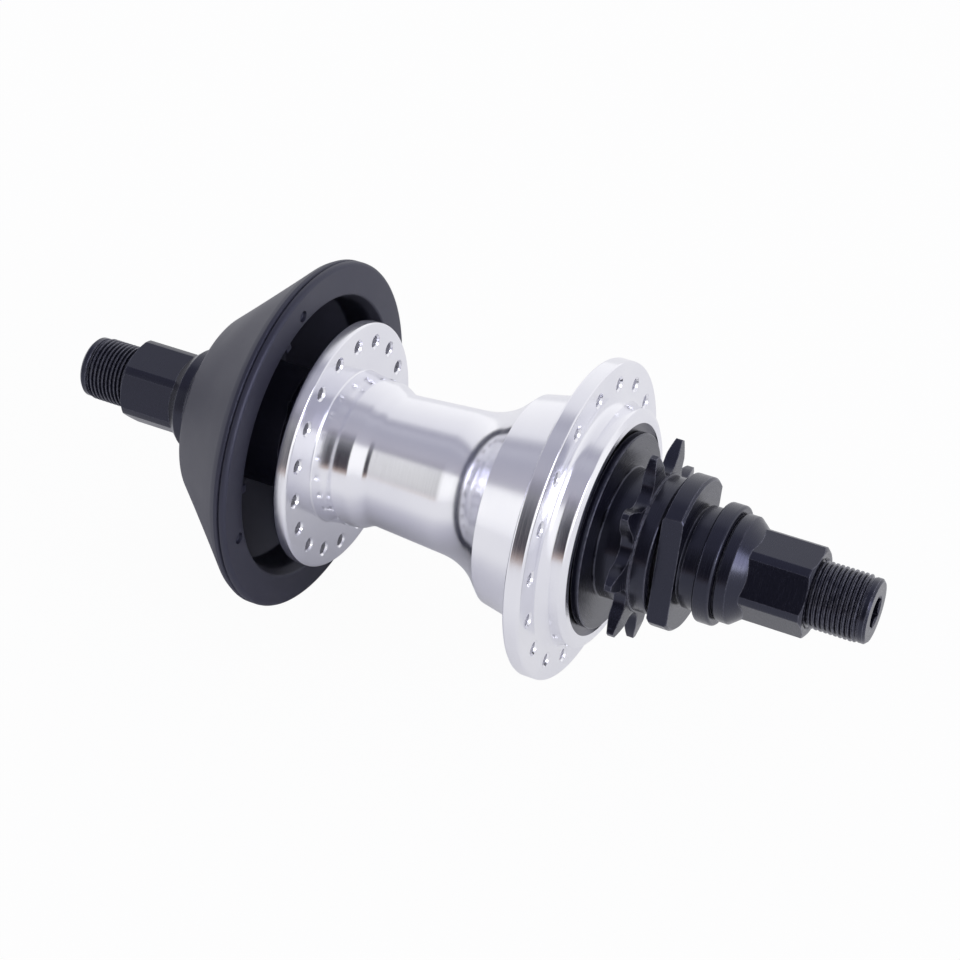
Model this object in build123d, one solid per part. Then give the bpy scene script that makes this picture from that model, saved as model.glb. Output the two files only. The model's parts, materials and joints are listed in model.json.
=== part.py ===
from build123d import *
import math
import os

# Freecoaster rear hub with a nine-tooth driver and a hub guard, in millimetres.
# The axle lies along Y, with the drive side at -Y. Stations are measured from the middle
# of the frame's dropouts towards the drive side, so a station s is at Y = -s.
# Angles around the axle run from +X towards +Z.

# Overall sizes
axle_length = 180.5
dropout_spacing = 113.4
slip_fit = 0.03
running_gap = 0.3
overshoot = 1.0

# Axle
axle_shank_radius = 7.5
thread_radius = 6.9
thread_pitch = 1.0
thread_depth = 0.55
thread_crest_width = 0.24
thread_root_width = 0.16
tip_length = 1.6
tip_radius = 6.65
tip_chamfer = 0.5
thread_clearance = 0.05
socket_flats = 6.0
socket_depth = 10.0
socket_angle = 12.0

# Hub shell, outside
shell_right_end = 35.2
shell_left_end = -30.5
mouth_bore_radius = 22.4
mouth_rim_radius = 23.9
mouth_rim_rounding = 0.15
boss_radius = 25.2
boss_chamfer_length = 0.8
boss_rounding = 0.6
boss_fillet = 2.4
right_flange_radius = 33.7
right_flange_outer_face = 29.74
right_flange_width = 3.6
right_flange_edge = 0.55
drum_radius = 25.1
drum_fillet = 1.4
drum_end = 14.0
drum_end_radius = 22.5
drum_end_rounding = 0.25
shoulder_rounding = 16.0
barrel_right = 7.5
barrel_right_radius = 16.0
barrel_left = -15.6
barrel_left_radius = 14.3
barrel_left_rounding = 4.0
bulge_radius = 16.1
bulge_foot_length = 3.6
bulge_foot_rise = 0.5
bulge_foot_fillet = 0.4
bulge_crest_length = 1.2
bulge_rounding = 8.0
bulge_shoulder_length = 3.2
bulge_shoulder_drop = 0.35
bulge_shoulder_rounding = 3.0
left_flange_radius = 26.8
left_flange_outer_face = -29.3
left_flange_width = 3.1
left_flange_edge = 0.6
left_boss_radius = 17.4
left_boss_fillet = 0.8
left_boss_rounding = 0.4

# Spoke holes
spoke_count = 18
spoke_hole_radius = 1.3
spoke_sink_radius = 1.65
spoke_sink_depth = 0.35
right_spoke_circle = 58.6
left_spoke_circle = 45.4
right_spoke_angle = 86.21
left_spoke_angle = 76.32

# Hub shell, inside
barrel_bore_radius = 12.0
taper_half_angle = 10.0
taper_floor = 11.5
nondrive_bearing_recess = 1.0
drive_bearing_recess = 1.8

# Bearings: bore, outside, width, ball radius and ball count
small_bore = 2 * axle_shank_radius
nondrive_bearing_outside = 28.0
nondrive_bearing_width = 7.0
nondrive_ball_radius = 1.8
nondrive_ball_count = 10
drive_bearing_outside = 42.0
drive_bearing_bore = 30.0
drive_bearing_width = 7.0
drive_ball_radius = 1.7
drive_ball_count = 18
driver_bearing_outside = 24.0
driver_bearing_width = 5.0
driver_ball_radius = 1.3
driver_ball_count = 12
ball_clearance = 0.08
pocket_clearance = 0.1
race_land_share = 0.55
cage_share = 0.3
cage_rim = 0.45
shield_recess = 0.1
shield_thickness = 0.25

# Retaining ring of the drive-side shell bearing
circlip_width = 0.9
circlip_outer_radius = 22.9
circlip_ring_width = 2.9
circlip_groove_clearance = 0.05
circlip_opening = 20.0
circlip_angle = -90.0

# Driver
driver_body_radius = 13.6
driver_body_fillet = 0.4
driver_shoulder_radius = 16.8
driver_shoulder_width = 1.3
dust_flange_radius = 20.6
dust_flange_width = 1.7
cog_offset = 5.0
cog_width = 2.6
collar_radius = 14.6
collar_width = 0.4
driver_tail_radius = 14.2
driver_edge = 0.3
inboard_bearing_offset = 0.6
driver_web_bore = 10.4
journal_lead = 0.8

# Cog
tooth_count = 9
chain_pitch = 12.7
roller_seat_radius = 3.95
tooth_tip_radius = 21.25
tooth_tip_half_width = 0.6
tooth_flank_radius = 11.0
tooth_rounding = 0.3
tooth_angle = 90.0
tooth_bevel = 0.75
tooth_bevel_radius = 18.0
corner_tolerance = 0.01

# Coarse screw between the driver and the clutch cone, left-handed about +Y
screw_minor_radius = 13.2
screw_major_radius = 14.8
screw_starts = 4
screw_lead = 26.0
screw_tooth_width = 2.2
screw_clearance = 0.35
screw_inboard_end = 18.1
screw_core_step = 0.2
screw_tooth_root_share = 0.5

# Clutch cone and its drag clip
clutch_travel = 1.8
cone_small_end = 14.0
cone_large_end = 25.2
cone_small_radius = 17.4
cone_rest_gap = 0.62
cone_edge_rounding = 0.3
cone_lip_bore = 11.6
cone_lip_width = 1.0
clip_groove_radius = 13.3
clip_groove_width = 2.0
cone_rib_bore = 12.3
clip_side_gap = 0.15
clip_outer_radius = 12.95
clip_fit = 0.05
clip_opening = 34.0
clip_angle = 0.0
drag_sleeve_radius = 10.5
drag_sleeve_length = 17.0
slack_spacer_length = 8.0
spacer_radius = 9.0

# Cone nuts
wrench_disc_radius = 16.0
wrench_flats = 22.0
wrench_disc_width = 4.4
wrench_disc_edge = 0.5
wrench_flat_angle = 165.5
nut_spacer_radius = 10.65
nut_spacer_length = 4.2
nut_spacer_edge = 0.3
undercut_radius = 9.9
undercut_width = 0.8
nut_nose_radius = 9.0
drive_nose_length = 0.5
nondrive_nose_length = 2.0

# Hub guard
guard_small_end = -56.0
guard_small_radius = 20.3
guard_end_rounding = 1.0
guard_mid = -46.0
guard_mid_radius = 29.3
guard_flare = -37.2
guard_flare_radius = 37.4
guard_rim_radius = 37.95
guard_rim_start = -36.2
guard_crease = -35.2
guard_crease_depth = 0.3
guard_face = -33.6
guard_face_rounding = 0.95
guard_mouth_radius = 29.8
guard_lip_depth = 2.4
guard_lip_flare = 1.2
guard_wall = 2.1
guard_floor = 2.5
guard_sleeve_wall = 2.5
guard_tab_pairs = 2
guard_tab_width = 1.8
guard_tab_height = 1.2
guard_tab_recess = 0.6
guard_tab_length = 6.0
guard_tab_angle = 107.0
guard_tab_spread = 61.0
dimple_circle_radius = 33.1
dimple_radius = 1.2
dimple_depth = 0.8
dimple_count = 4
dimple_angle = 96.0

# Axle nuts and their captive washers
washer_thickness = 3.6
washer_radius = 12.45
washer_rounding = 0.6
washer_bore_radius = 9.3
washer_recess_radius = 10.4
washer_recess_depth = 1.4
neck_clearance = 0.08
swage_radius = 10.0
swage_thickness = 0.7
nut_land_gap = 0.1
nut_land_width = 0.3
nut_land_radius = 10.6
nut_flange_radius = 11.15
nut_flange_width = 2.4
nut_flange_cone = 2.2
nut_flats = 17.0
nut_corner_radius = 9.35
nut_hex_length = 12.9
nut_end_chamfer = 0.5
nut_end_slope = 1.6
drive_hex_angle = 57.0
nondrive_hex_angle = 71.0

# Stations worked out from the sizes above
dropout_face = dropout_spacing / 2
outboard_bearing_end = dropout_face - nut_spacer_length - wrench_disc_width - drive_nose_length
outboard_bearing_start = outboard_bearing_end - driver_bearing_width
drive_bearing_end = shell_right_end - drive_bearing_recess
drive_bearing_start = drive_bearing_end - drive_bearing_width
inboard_bearing_start = drive_bearing_start + inboard_bearing_offset
inboard_bearing_end = inboard_bearing_start + driver_bearing_width
drag_sleeve_end = inboard_bearing_start - slack_spacer_length
drag_sleeve_start = drag_sleeve_end - drag_sleeve_length
nondrive_bearing_start = shell_left_end + nondrive_bearing_recess
nondrive_bearing_end = nondrive_bearing_start + nondrive_bearing_width
nondrive_disc_end = nondrive_bearing_start - nondrive_nose_length
nondrive_disc_start = nondrive_disc_end - wrench_disc_width
dust_flange_start = drive_bearing_end + driver_shoulder_width
dust_flange_end = dust_flange_start + dust_flange_width
cog_start = dust_flange_end + cog_offset
cog_end = cog_start + cog_width
collar_end = cog_end + collar_width
journal_start = drive_bearing_start - journal_lead
taper = math.tan(math.radians(taper_half_angle))
cone_large_radius = cone_small_radius + taper * (cone_large_end - cone_small_end)

os.makedirs("parts", exist_ok=True)


def at(station, radius):
    """Point of the turning plane for a station and a radius."""
    return Vector(radius, -station)


def rounded_outline(corners):
    """Closed wire through (station, radius, rounding) corners."""
    points = [at(corner[0], corner[1]) for corner in corners]
    starts = []
    ends = []
    arcs = []
    for index, point in enumerate(points):
        rounding = corners[index][2] if len(corners[index]) > 2 else 0
        back = (points[index - 1] - point).normalized()
        onward = (points[(index + 1) % len(points)] - point).normalized()
        if rounding == 0:
            starts.append(point)
            ends.append(point)
            continue
        half = math.radians(back.get_angle(onward)) / 2
        reach = rounding / math.tan(half)
        first = point + back * reach
        last = point + onward * reach
        middle = point + (back + onward).normalized() * (rounding / math.sin(half) - rounding)
        starts.append(first)
        ends.append(last)
        arcs.append(ThreePointArc(first, middle, last))
    lines = []
    for index, end in enumerate(ends):
        following = starts[(index + 1) % len(starts)]
        if (following - end).length > 1e-6:
            lines.append(Line(end, following))
    return lines + arcs


def turned(*corners):
    """Solid of revolution about the hub's axis."""
    return revolve(make_face(rounded_outline(corners)), Axis.Y, 360)


def tube(start, end, inner, outer):
    """Plain ring between two stations."""
    return turned((start, inner), (end, inner), (end, outer), (start, outer))


def prism(sketch, start, end):
    """Sketch across the axle, extruded from one station to another."""
    return extrude(Plane.XZ.offset(start) * sketch, end - start)


def hexagon(flats, angle):
    """Hexagon with a corner at the given angle."""
    return Rot(0, 0, angle) * RegularPolygon(flats / math.sqrt(3), 6)


def around(count, angle, radius):
    """Places on a circle across the axle."""
    return PolarLocations(radius, count, start_angle=angle)


def save(name, shape):
    """Write one node."""
    export_step(shape, os.path.join("parts", name + ".step"))


# Axle, with its thread cut as closed ridges one pitch apart
def thread_ridges(start, end):
    """Outline points of the ridges from one station to another."""
    root = thread_radius - thread_depth
    flank = (thread_pitch - thread_crest_width - thread_root_width) / 2
    step = math.copysign(1, end - start)
    points = []
    for turn in range(int(abs(end - start) / thread_pitch)):
        base = start + step * turn * thread_pitch
        points.append((base, thread_radius))
        points.append((base + step * thread_crest_width, thread_radius))
        points.append((base + step * (thread_crest_width + flank), root))
        points.append((base + step * (thread_crest_width + flank + thread_root_width), root))
    return points


axle_end = axle_length / 2
shank_right = outboard_bearing_end - running_gap
shank_left = nondrive_disc_start
thread_root = thread_radius - thread_depth
thread_end = axle_end - tip_length
axle = turned(
    (-axle_end, 0),
    (axle_end, 0),
    (axle_end, tip_radius - tip_chamfer),
    (axle_end - tip_chamfer, tip_radius),
    (thread_end, tip_radius),
    (thread_end, thread_root),
    *reversed(thread_ridges(shank_right, thread_end)),
    (shank_right, axle_shank_radius),
    (shank_left, axle_shank_radius),
    *thread_ridges(shank_left, -thread_end),
    (-thread_end, thread_root),
    (-thread_end, tip_radius),
    (-axle_end + tip_chamfer, tip_radius),
    (-axle_end, tip_radius - tip_chamfer),
)
socket = hexagon(socket_flats, socket_angle)
axle -= prism(socket, axle_end - socket_depth, axle_end + overshoot)
axle -= prism(socket, -axle_end - overshoot, -axle_end + socket_depth)
save("axle", axle)


# Ball bearings
def bearing(name, start, width, bore, outside, ball_radius, ball_count):
    """Races, balls, cage and two shields of one sealed bearing."""
    inner = bore / 2
    outer = outside / 2
    end = start + width
    middle = start + width / 2
    pitch = (inner + outer) / 2
    inner_land = pitch - race_land_share * ball_radius
    outer_land = pitch + race_land_share * ball_radius
    track = Pos(0, -middle, 0) * Rot(90, 0, 0) * Torus(pitch, ball_radius + ball_clearance)
    save(name + "_inner_race", tube(start, end, inner + slip_fit, inner_land) - track)
    save(name + "_outer_race", tube(start, end, outer_land, outer - slip_fit) - track)
    places = [Plane.XZ.offset(middle) * place for place in around(ball_count, 0, pitch)]
    balls = [place * Sphere(ball_radius) for place in places]
    save(name + "_balls", Compound(balls))
    half_cage = ball_radius + pocket_clearance + cage_rim
    cage_thickness = cage_share * ball_radius
    cage = tube(middle - half_cage, middle + half_cage, pitch - cage_thickness, pitch + cage_thickness)
    pocket = Rot(0, 90, 0) * Cylinder(ball_radius + pocket_clearance, 2 * ball_radius)
    cage -= [place * pocket for place in places]
    save(name + "_cage", cage)
    left = start + shield_recess
    right = end - shield_recess - shield_thickness
    save(name + "_shield_left", tube(left, left + shield_thickness, inner_land + running_gap, outer_land))
    save(name + "_shield_right", tube(right, right + shield_thickness, inner_land + running_gap, outer_land))
    return inner_land, outer_land


bearing(
    "nondrive_bearing",
    nondrive_bearing_start,
    nondrive_bearing_width,
    small_bore,
    nondrive_bearing_outside,
    nondrive_ball_radius,
    nondrive_ball_count,
)
bearing(
    "shell_bearing",
    drive_bearing_start,
    drive_bearing_width,
    drive_bearing_bore,
    drive_bearing_outside,
    drive_ball_radius,
    drive_ball_count,
)
for bearing_name, bearing_start in (
    ("driver_inboard", inboard_bearing_start),
    ("driver_outboard", outboard_bearing_start),
):
    bearing(
        bearing_name,
        bearing_start,
        driver_bearing_width,
        small_bore,
        driver_bearing_outside,
        driver_ball_radius,
        driver_ball_count,
    )

# Spacers and the drag sleeve on the axle
axle_bore = axle_shank_radius + slip_fit
save("center_spacer", tube(nondrive_bearing_end, drag_sleeve_start, axle_bore, spacer_radius))
save("drag_sleeve", tube(drag_sleeve_start, drag_sleeve_end, axle_bore, drag_sleeve_radius))
save("slack_spacer", tube(drag_sleeve_end, inboard_bearing_start, axle_bore, spacer_radius))
save("driver_spacer", tube(inboard_bearing_end, outboard_bearing_start, axle_bore, spacer_radius))


# Hub shell
def cup_radius(station):
    """Radius of the clutch cup in the shell."""
    return cone_small_radius + cone_rest_gap + taper * (station - cone_small_end)


def spoke_holes(circle, angle, start, end):
    """Spoke holes through one flange, countersunk from both faces."""
    sinks = turned(
        (start - overshoot, 0),
        (end + overshoot, 0),
        (end + overshoot, spoke_sink_radius),
        (end, spoke_sink_radius),
        (end - spoke_sink_depth, spoke_hole_radius),
        (start + spoke_sink_depth, spoke_hole_radius),
        (start, spoke_sink_radius),
        (start - overshoot, spoke_sink_radius),
    )
    holes = []
    for turn in range(spoke_count):
        bearing_angle = math.radians(angle + turn * 360 / spoke_count)
        x = circle / 2 * math.cos(bearing_angle)
        z = circle / 2 * math.sin(bearing_angle)
        holes.append(Pos(x, 0, z) * sinks)
    return holes


right_flange_inner_face = right_flange_outer_face - right_flange_width
left_flange_inner_face = left_flange_outer_face + left_flange_width
bulge_crest_start = left_flange_inner_face + bulge_foot_length
bulge_crest_end = bulge_crest_start + bulge_crest_length
bulge_shoulder_end = bulge_crest_end + bulge_shoulder_length
nondrive_seat_radius = nondrive_bearing_outside / 2
drive_seat_radius = drive_bearing_outside / 2
hub_shell = turned(
    (shell_right_end, mouth_bore_radius),
    (shell_right_end, mouth_rim_radius, mouth_rim_rounding),
    (shell_right_end - boss_chamfer_length, boss_radius, boss_rounding),
    (right_flange_outer_face, boss_radius, boss_fillet),
    (right_flange_outer_face, right_flange_radius, right_flange_edge),
    (right_flange_inner_face, right_flange_radius, right_flange_edge),
    (right_flange_inner_face, drum_radius, drum_fillet),
    (drum_end, drum_end_radius, drum_end_rounding),
    (barrel_right, barrel_right_radius, shoulder_rounding),
    (barrel_left, barrel_left_radius, barrel_left_rounding),
    (bulge_shoulder_end, bulge_radius - bulge_shoulder_drop, bulge_shoulder_rounding),
    (bulge_crest_end, bulge_radius, bulge_rounding),
    (bulge_crest_start, bulge_radius, bulge_rounding),
    (left_flange_inner_face, bulge_radius + bulge_foot_rise, bulge_foot_fillet),
    (left_flange_inner_face, left_flange_radius, left_flange_edge),
    (left_flange_outer_face, left_flange_radius, left_flange_edge),
    (left_flange_outer_face, left_boss_radius, left_boss_fillet),
    (shell_left_end, left_boss_radius, left_boss_rounding),
    (shell_left_end, nondrive_seat_radius),
    (nondrive_bearing_end, nondrive_seat_radius),
    (nondrive_bearing_end, barrel_bore_radius),
    (taper_floor, barrel_bore_radius),
    (taper_floor, cup_radius(taper_floor)),
    (drive_bearing_start, cup_radius(drive_bearing_start)),
    (drive_bearing_start, drive_seat_radius),
    (drive_bearing_end, drive_seat_radius),
    (drive_bearing_end, circlip_outer_radius + circlip_groove_clearance),
    (drive_bearing_end + circlip_width, circlip_outer_radius + circlip_groove_clearance),
    (drive_bearing_end + circlip_width, mouth_bore_radius),
)
hub_shell -= spoke_holes(
    right_spoke_circle,
    right_spoke_angle,
    right_flange_inner_face,
    right_flange_outer_face,
)
hub_shell -= spoke_holes(
    left_spoke_circle,
    left_spoke_angle,
    left_flange_outer_face,
    left_flange_inner_face,
)
save("hub_shell", hub_shell)


def ring_gap(opening, angle, radius, start, end):
    """Wedge that opens a ring."""
    reach = 2 * radius
    half_height = reach * math.tan(math.radians(opening / 2))
    wedge = Polygon((0, 0), (reach, half_height), (reach, -half_height), align=None)
    return prism(Rot(0, 0, angle) * wedge, start - overshoot, end + overshoot)


circlip_end = drive_bearing_end + circlip_width
circlip_inner_radius = circlip_outer_radius - circlip_ring_width
circlip = tube(drive_bearing_end, circlip_end, circlip_inner_radius, circlip_outer_radius)
circlip -= ring_gap(circlip_opening, circlip_angle, circlip_outer_radius, drive_bearing_end, circlip_end)
save("shell_circlip", circlip)


# Driver
def tooth_gap():
    """Roller seat and convex flanks between two teeth, centred on +Y of the sketch."""
    half_step = math.pi / tooth_count
    seat_center = Vector(0, chain_pitch / 2 / math.sin(half_step))
    tip_x = tooth_tip_radius * math.sin(half_step) - tooth_tip_half_width * math.cos(half_step)
    tip_y = tooth_tip_radius * math.cos(half_step) + tooth_tip_half_width * math.sin(half_step)
    tip = Vector(tip_x, tip_y)
    toward_tip = tip - seat_center
    reach = roller_seat_radius + tooth_flank_radius
    along = (reach**2 - tooth_flank_radius**2 + toward_tip.length**2) / (2 * toward_tip.length)
    aside = math.sqrt(reach**2 - along**2)
    onward = toward_tip.normalized()
    flank_center = seat_center + onward * along + Vector(onward.Y, -onward.X) * aside
    seat_end = seat_center + (flank_center - seat_center).normalized() * roller_seat_radius
    past_tip = (tip - flank_center).rotate(Axis.Z, math.degrees(overshoot / tooth_flank_radius))
    flank_end = flank_center + past_tip
    flank_middle = flank_center + (seat_end + flank_end - flank_center * 2).normalized() * tooth_flank_radius
    seat_floor = seat_center - Vector(0, roller_seat_radius)
    right_flank = ThreePointArc(seat_end, flank_middle, flank_end)
    left_flank = mirror(right_flank, Plane.YZ)
    seat = ThreePointArc(left_flank @ 0, seat_floor, seat_end)
    above = Vector(0, tooth_tip_radius + overshoot)
    outside = Polyline(flank_end, above, left_flank @ 1)
    return make_face([seat, right_flank, outside, left_flank])


def cog_sketch():
    """Toothed outline of the cog."""
    gap = tooth_gap()
    outline = Circle(tooth_tip_radius)
    step = 360 / tooth_count
    for tooth in range(tooth_count):
        outline -= Rot(0, 0, tooth_angle - 90 + step * (tooth + 0.5)) * gap
    least = tooth_tip_radius - corner_tolerance
    tips = [corner for corner in outline.vertices() if corner.center().length > least]
    return fillet(tips, tooth_rounding)


def screw_section(core, crest, tooth_width):
    """Section across a multi-start screw, with its first tooth centred on +X."""
    half_angle = math.pi * tooth_width / screw_lead
    section = Circle(core)
    inner = core * screw_tooth_root_share
    for start in range(screw_starts):
        turn = Rot(0, 0, 360 * start / screw_starts)
        lower = (crest * math.cos(-half_angle), crest * math.sin(-half_angle))
        upper = (crest * math.cos(half_angle), crest * math.sin(half_angle))
        low_root = (inner * math.cos(-half_angle), inner * math.sin(-half_angle))
        high_root = (inner * math.cos(half_angle), inner * math.sin(half_angle))
        edges = [
            Line(low_root, lower),
            ThreePointArc(lower, (crest, 0), upper),
            Line(upper, high_root),
            Line(high_root, low_root),
        ]
        section += turn * make_face(edges)
    return section


def twisted(section, start, end, lag):
    """Section wound along the screw from one station to another, lag further on."""
    turn = 360 * (start + lag) / screw_lead
    face = (Plane.XZ.offset(start) * Rot(0, 0, turn) * section).face()
    angle = 360 * (end - start) / screw_lead
    return Solid.extrude_linear_with_rotation(
        face,
        Vector(0, -start, 0),
        Vector(0, start - end, 0),
        angle,
    )


driver = turned(
    (screw_inboard_end + overshoot, driver_web_bore),
    (outboard_bearing_end, driver_web_bore),
    (outboard_bearing_end, driver_tail_radius, driver_edge),
    (collar_end, driver_tail_radius),
    (collar_end, collar_radius, driver_edge),
    (cog_start, collar_radius),
    (cog_start, driver_body_radius),
    (dust_flange_end, driver_body_radius, driver_body_fillet),
    (dust_flange_end, dust_flange_radius, driver_edge),
    (dust_flange_start, dust_flange_radius),
    (dust_flange_start, driver_shoulder_radius),
    (drive_bearing_end, driver_shoulder_radius),
    (drive_bearing_end, drive_bearing_bore / 2),
    (journal_start, drive_bearing_bore / 2),
    (journal_start, screw_minor_radius - screw_core_step),
    (screw_inboard_end + overshoot, screw_minor_radius - screw_core_step),
)
driver += twisted(
    screw_section(screw_minor_radius, screw_major_radius, screw_tooth_width),
    screw_inboard_end,
    journal_start,
    0,
)
cog_blank = turned(
    (cog_start, 0),
    (cog_end, 0),
    (cog_end, tooth_bevel_radius),
    (cog_end - tooth_bevel, tooth_tip_radius + overshoot),
    (cog_start + tooth_bevel, tooth_tip_radius + overshoot),
    (cog_start, tooth_bevel_radius),
)
driver += prism(cog_sketch(), cog_start, cog_end) & cog_blank
driver_seat_radius = driver_bearing_outside / 2
driver -= tube(screw_inboard_end - overshoot, inboard_bearing_end, 0, driver_seat_radius)
driver -= tube(inboard_bearing_end, outboard_bearing_start, 0, driver_web_bore)
driver -= tube(outboard_bearing_start, outboard_bearing_end + overshoot, 0, driver_seat_radius)
save("driver", driver)

# Clutch cone: the driver's screw pushes it into the shell's cup
clip_groove_start = cone_small_end + cone_lip_width
clip_groove_end = clip_groove_start + clip_groove_width
screw_bore_start = screw_inboard_end - running_gap
clutch_cone = turned(
    (cone_small_end, cone_lip_bore),
    (clip_groove_start, cone_lip_bore),
    (clip_groove_start, clip_groove_radius),
    (clip_groove_end, clip_groove_radius),
    (clip_groove_end, cone_rib_bore),
    (cone_large_end, cone_rib_bore),
    (cone_large_end, cone_large_radius, cone_edge_rounding),
    (cone_small_end, cone_small_radius, cone_edge_rounding),
)
groove_width = screw_tooth_width + 2 * screw_clearance + clutch_travel
clutch_cone -= twisted(
    screw_section(
        screw_minor_radius + screw_clearance,
        screw_major_radius + screw_clearance,
        groove_width,
    ),
    screw_bore_start,
    cone_large_end + overshoot,
    -clutch_travel / 2,
)
save("clutch_cone", clutch_cone)

clip_start = clip_groove_start + clip_side_gap
clip_end = clip_groove_end - clip_side_gap
drag_clip = tube(clip_start, clip_end, drag_sleeve_radius + clip_fit, clip_outer_radius)
drag_clip -= ring_gap(clip_opening, clip_angle, clip_outer_radius, clip_start, clip_end)
save("drag_clip", drag_clip)


# Cone nuts
def wrench_flats_cut(start, end):
    """Solid outside the two wrench flats."""
    outside = Circle(2 * wrench_disc_radius) - Rectangle(wrench_flats, 5 * wrench_disc_radius)
    return prism(Rot(0, 0, wrench_flat_angle) * outside, start, end)


thread_bore = thread_radius + thread_clearance
disc_start = outboard_bearing_end + drive_nose_length
disc_end = disc_start + wrench_disc_width
drive_cone_nut = turned(
    (outboard_bearing_end, thread_bore),
    (dropout_face, thread_bore),
    (dropout_face, nut_spacer_radius, nut_spacer_edge),
    (disc_end + undercut_width, nut_spacer_radius),
    (disc_end + undercut_width, undercut_radius),
    (disc_end, undercut_radius),
    (disc_end, wrench_disc_radius - wrench_disc_edge),
    (disc_end - wrench_disc_edge, wrench_disc_radius),
    (disc_start + wrench_disc_edge, wrench_disc_radius),
    (disc_start, wrench_disc_radius - wrench_disc_edge),
    (disc_start, nut_nose_radius),
    (outboard_bearing_end, nut_nose_radius),
)
drive_cone_nut -= wrench_flats_cut(disc_start - drive_nose_length / 2, disc_end)
save("drive_cone_nut", drive_cone_nut)

nondrive_cone_nut = turned(
    (nondrive_bearing_start, axle_bore),
    (nondrive_disc_start, axle_bore),
    (nondrive_disc_start, thread_bore),
    (-dropout_face, thread_bore),
    (-dropout_face, nut_spacer_radius, nut_spacer_edge),
    (nondrive_disc_start, nut_spacer_radius),
    (nondrive_disc_start, wrench_disc_radius - wrench_disc_edge),
    (nondrive_disc_start + wrench_disc_edge, wrench_disc_radius),
    (nondrive_disc_end - wrench_disc_edge, wrench_disc_radius),
    (nondrive_disc_end, wrench_disc_radius - wrench_disc_edge),
    (nondrive_disc_end, nut_nose_radius),
    (nondrive_bearing_start, nut_nose_radius),
)
nondrive_cone_nut -= wrench_flats_cut(nondrive_disc_start, nondrive_disc_end + nondrive_nose_length / 2)
save("nondrive_cone_nut", nondrive_cone_nut)

# Hub guard
guard_slope = (guard_mid_radius - guard_small_radius) / (guard_mid - guard_small_end)
guard_drop = guard_wall * math.hypot(1, guard_slope)
guard_floor_station = guard_small_end + guard_floor
guard_floor_radius = guard_small_radius + guard_slope * guard_floor - guard_drop
guard_bore = nut_spacer_radius + slip_fit
guard_sleeve_radius = guard_bore + guard_sleeve_wall
guard_cone_start = guard_floor_station + (guard_mouth_radius - guard_floor_radius) / guard_slope
first = at(guard_small_end + guard_end_rounding, guard_small_radius + guard_slope * guard_end_rounding)
flare = at(guard_flare, guard_flare_radius)
bead_start = at(guard_face - guard_face_rounding, guard_rim_radius)
bead_end = at(guard_face, guard_rim_radius - guard_face_rounding)
bead_rise = guard_face_rounding * (1 - math.sqrt(0.5))
bead_middle = at(guard_face - bead_rise, guard_rim_radius - bead_rise)
rest_of_guard = [
    at(guard_face, guard_mouth_radius + guard_lip_flare),
    at(guard_face - guard_lip_depth, guard_mouth_radius),
    at(guard_cone_start, guard_mouth_radius),
    at(guard_floor_station, guard_floor_radius),
    at(guard_floor_station, guard_sleeve_radius),
    at(nondrive_disc_start, guard_sleeve_radius),
    at(nondrive_disc_start, guard_bore),
    at(guard_small_end, guard_bore),
    at(guard_small_end, guard_small_radius - guard_end_rounding),
]
guard_edges = [
    ThreePointArc(first, at(guard_mid, guard_mid_radius), flare),
    Polyline(
        flare,
        at(guard_rim_start, guard_rim_radius),
        at(guard_crease - guard_crease_depth, guard_rim_radius),
        at(guard_crease, guard_rim_radius - guard_crease_depth),
        at(guard_crease + guard_crease_depth, guard_rim_radius),
        bead_start,
    ),
    ThreePointArc(bead_start, bead_middle, bead_end),
    Polyline(bead_end, *rest_of_guard),
    Line(rest_of_guard[-1], first),
]
hub_guard = revolve(make_face(guard_edges), Axis.Y, 360)
tab_start = guard_face - guard_tab_recess - guard_tab_length
tab_end = guard_face - guard_tab_recess
tab_reach = guard_tab_height + overshoot
tab_sketch = Pos(guard_mouth_radius - guard_tab_height + tab_reach / 2, 0)
tab_sketch *= Rectangle(tab_reach, guard_tab_width)
for pair in range(guard_tab_pairs):
    for tab_angle in (guard_tab_angle, guard_tab_angle + guard_tab_spread):
        tab_place = Rot(0, 0, tab_angle + pair * 360 / guard_tab_pairs)
        hub_guard += prism(tab_place * tab_sketch, tab_start, tab_end)
dimple = Cylinder(dimple_radius, 2 * dimple_depth)
for place in around(dimple_count, dimple_angle, dimple_circle_radius):
    hub_guard -= Plane.XZ.offset(guard_face) * place * dimple
save("hub_guard", hub_guard)


# Axle nuts with captive washers, built on the drive side and mirrored
def washer():
    """Captive washer against the dropout."""
    outer_face = dropout_face + washer_thickness
    return turned(
        (dropout_face, washer_recess_radius),
        (dropout_face, washer_radius, washer_rounding),
        (outer_face, washer_radius, washer_rounding),
        (outer_face, washer_bore_radius),
        (dropout_face + washer_recess_depth, washer_bore_radius),
        (dropout_face + washer_recess_depth, washer_recess_radius),
    )


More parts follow.
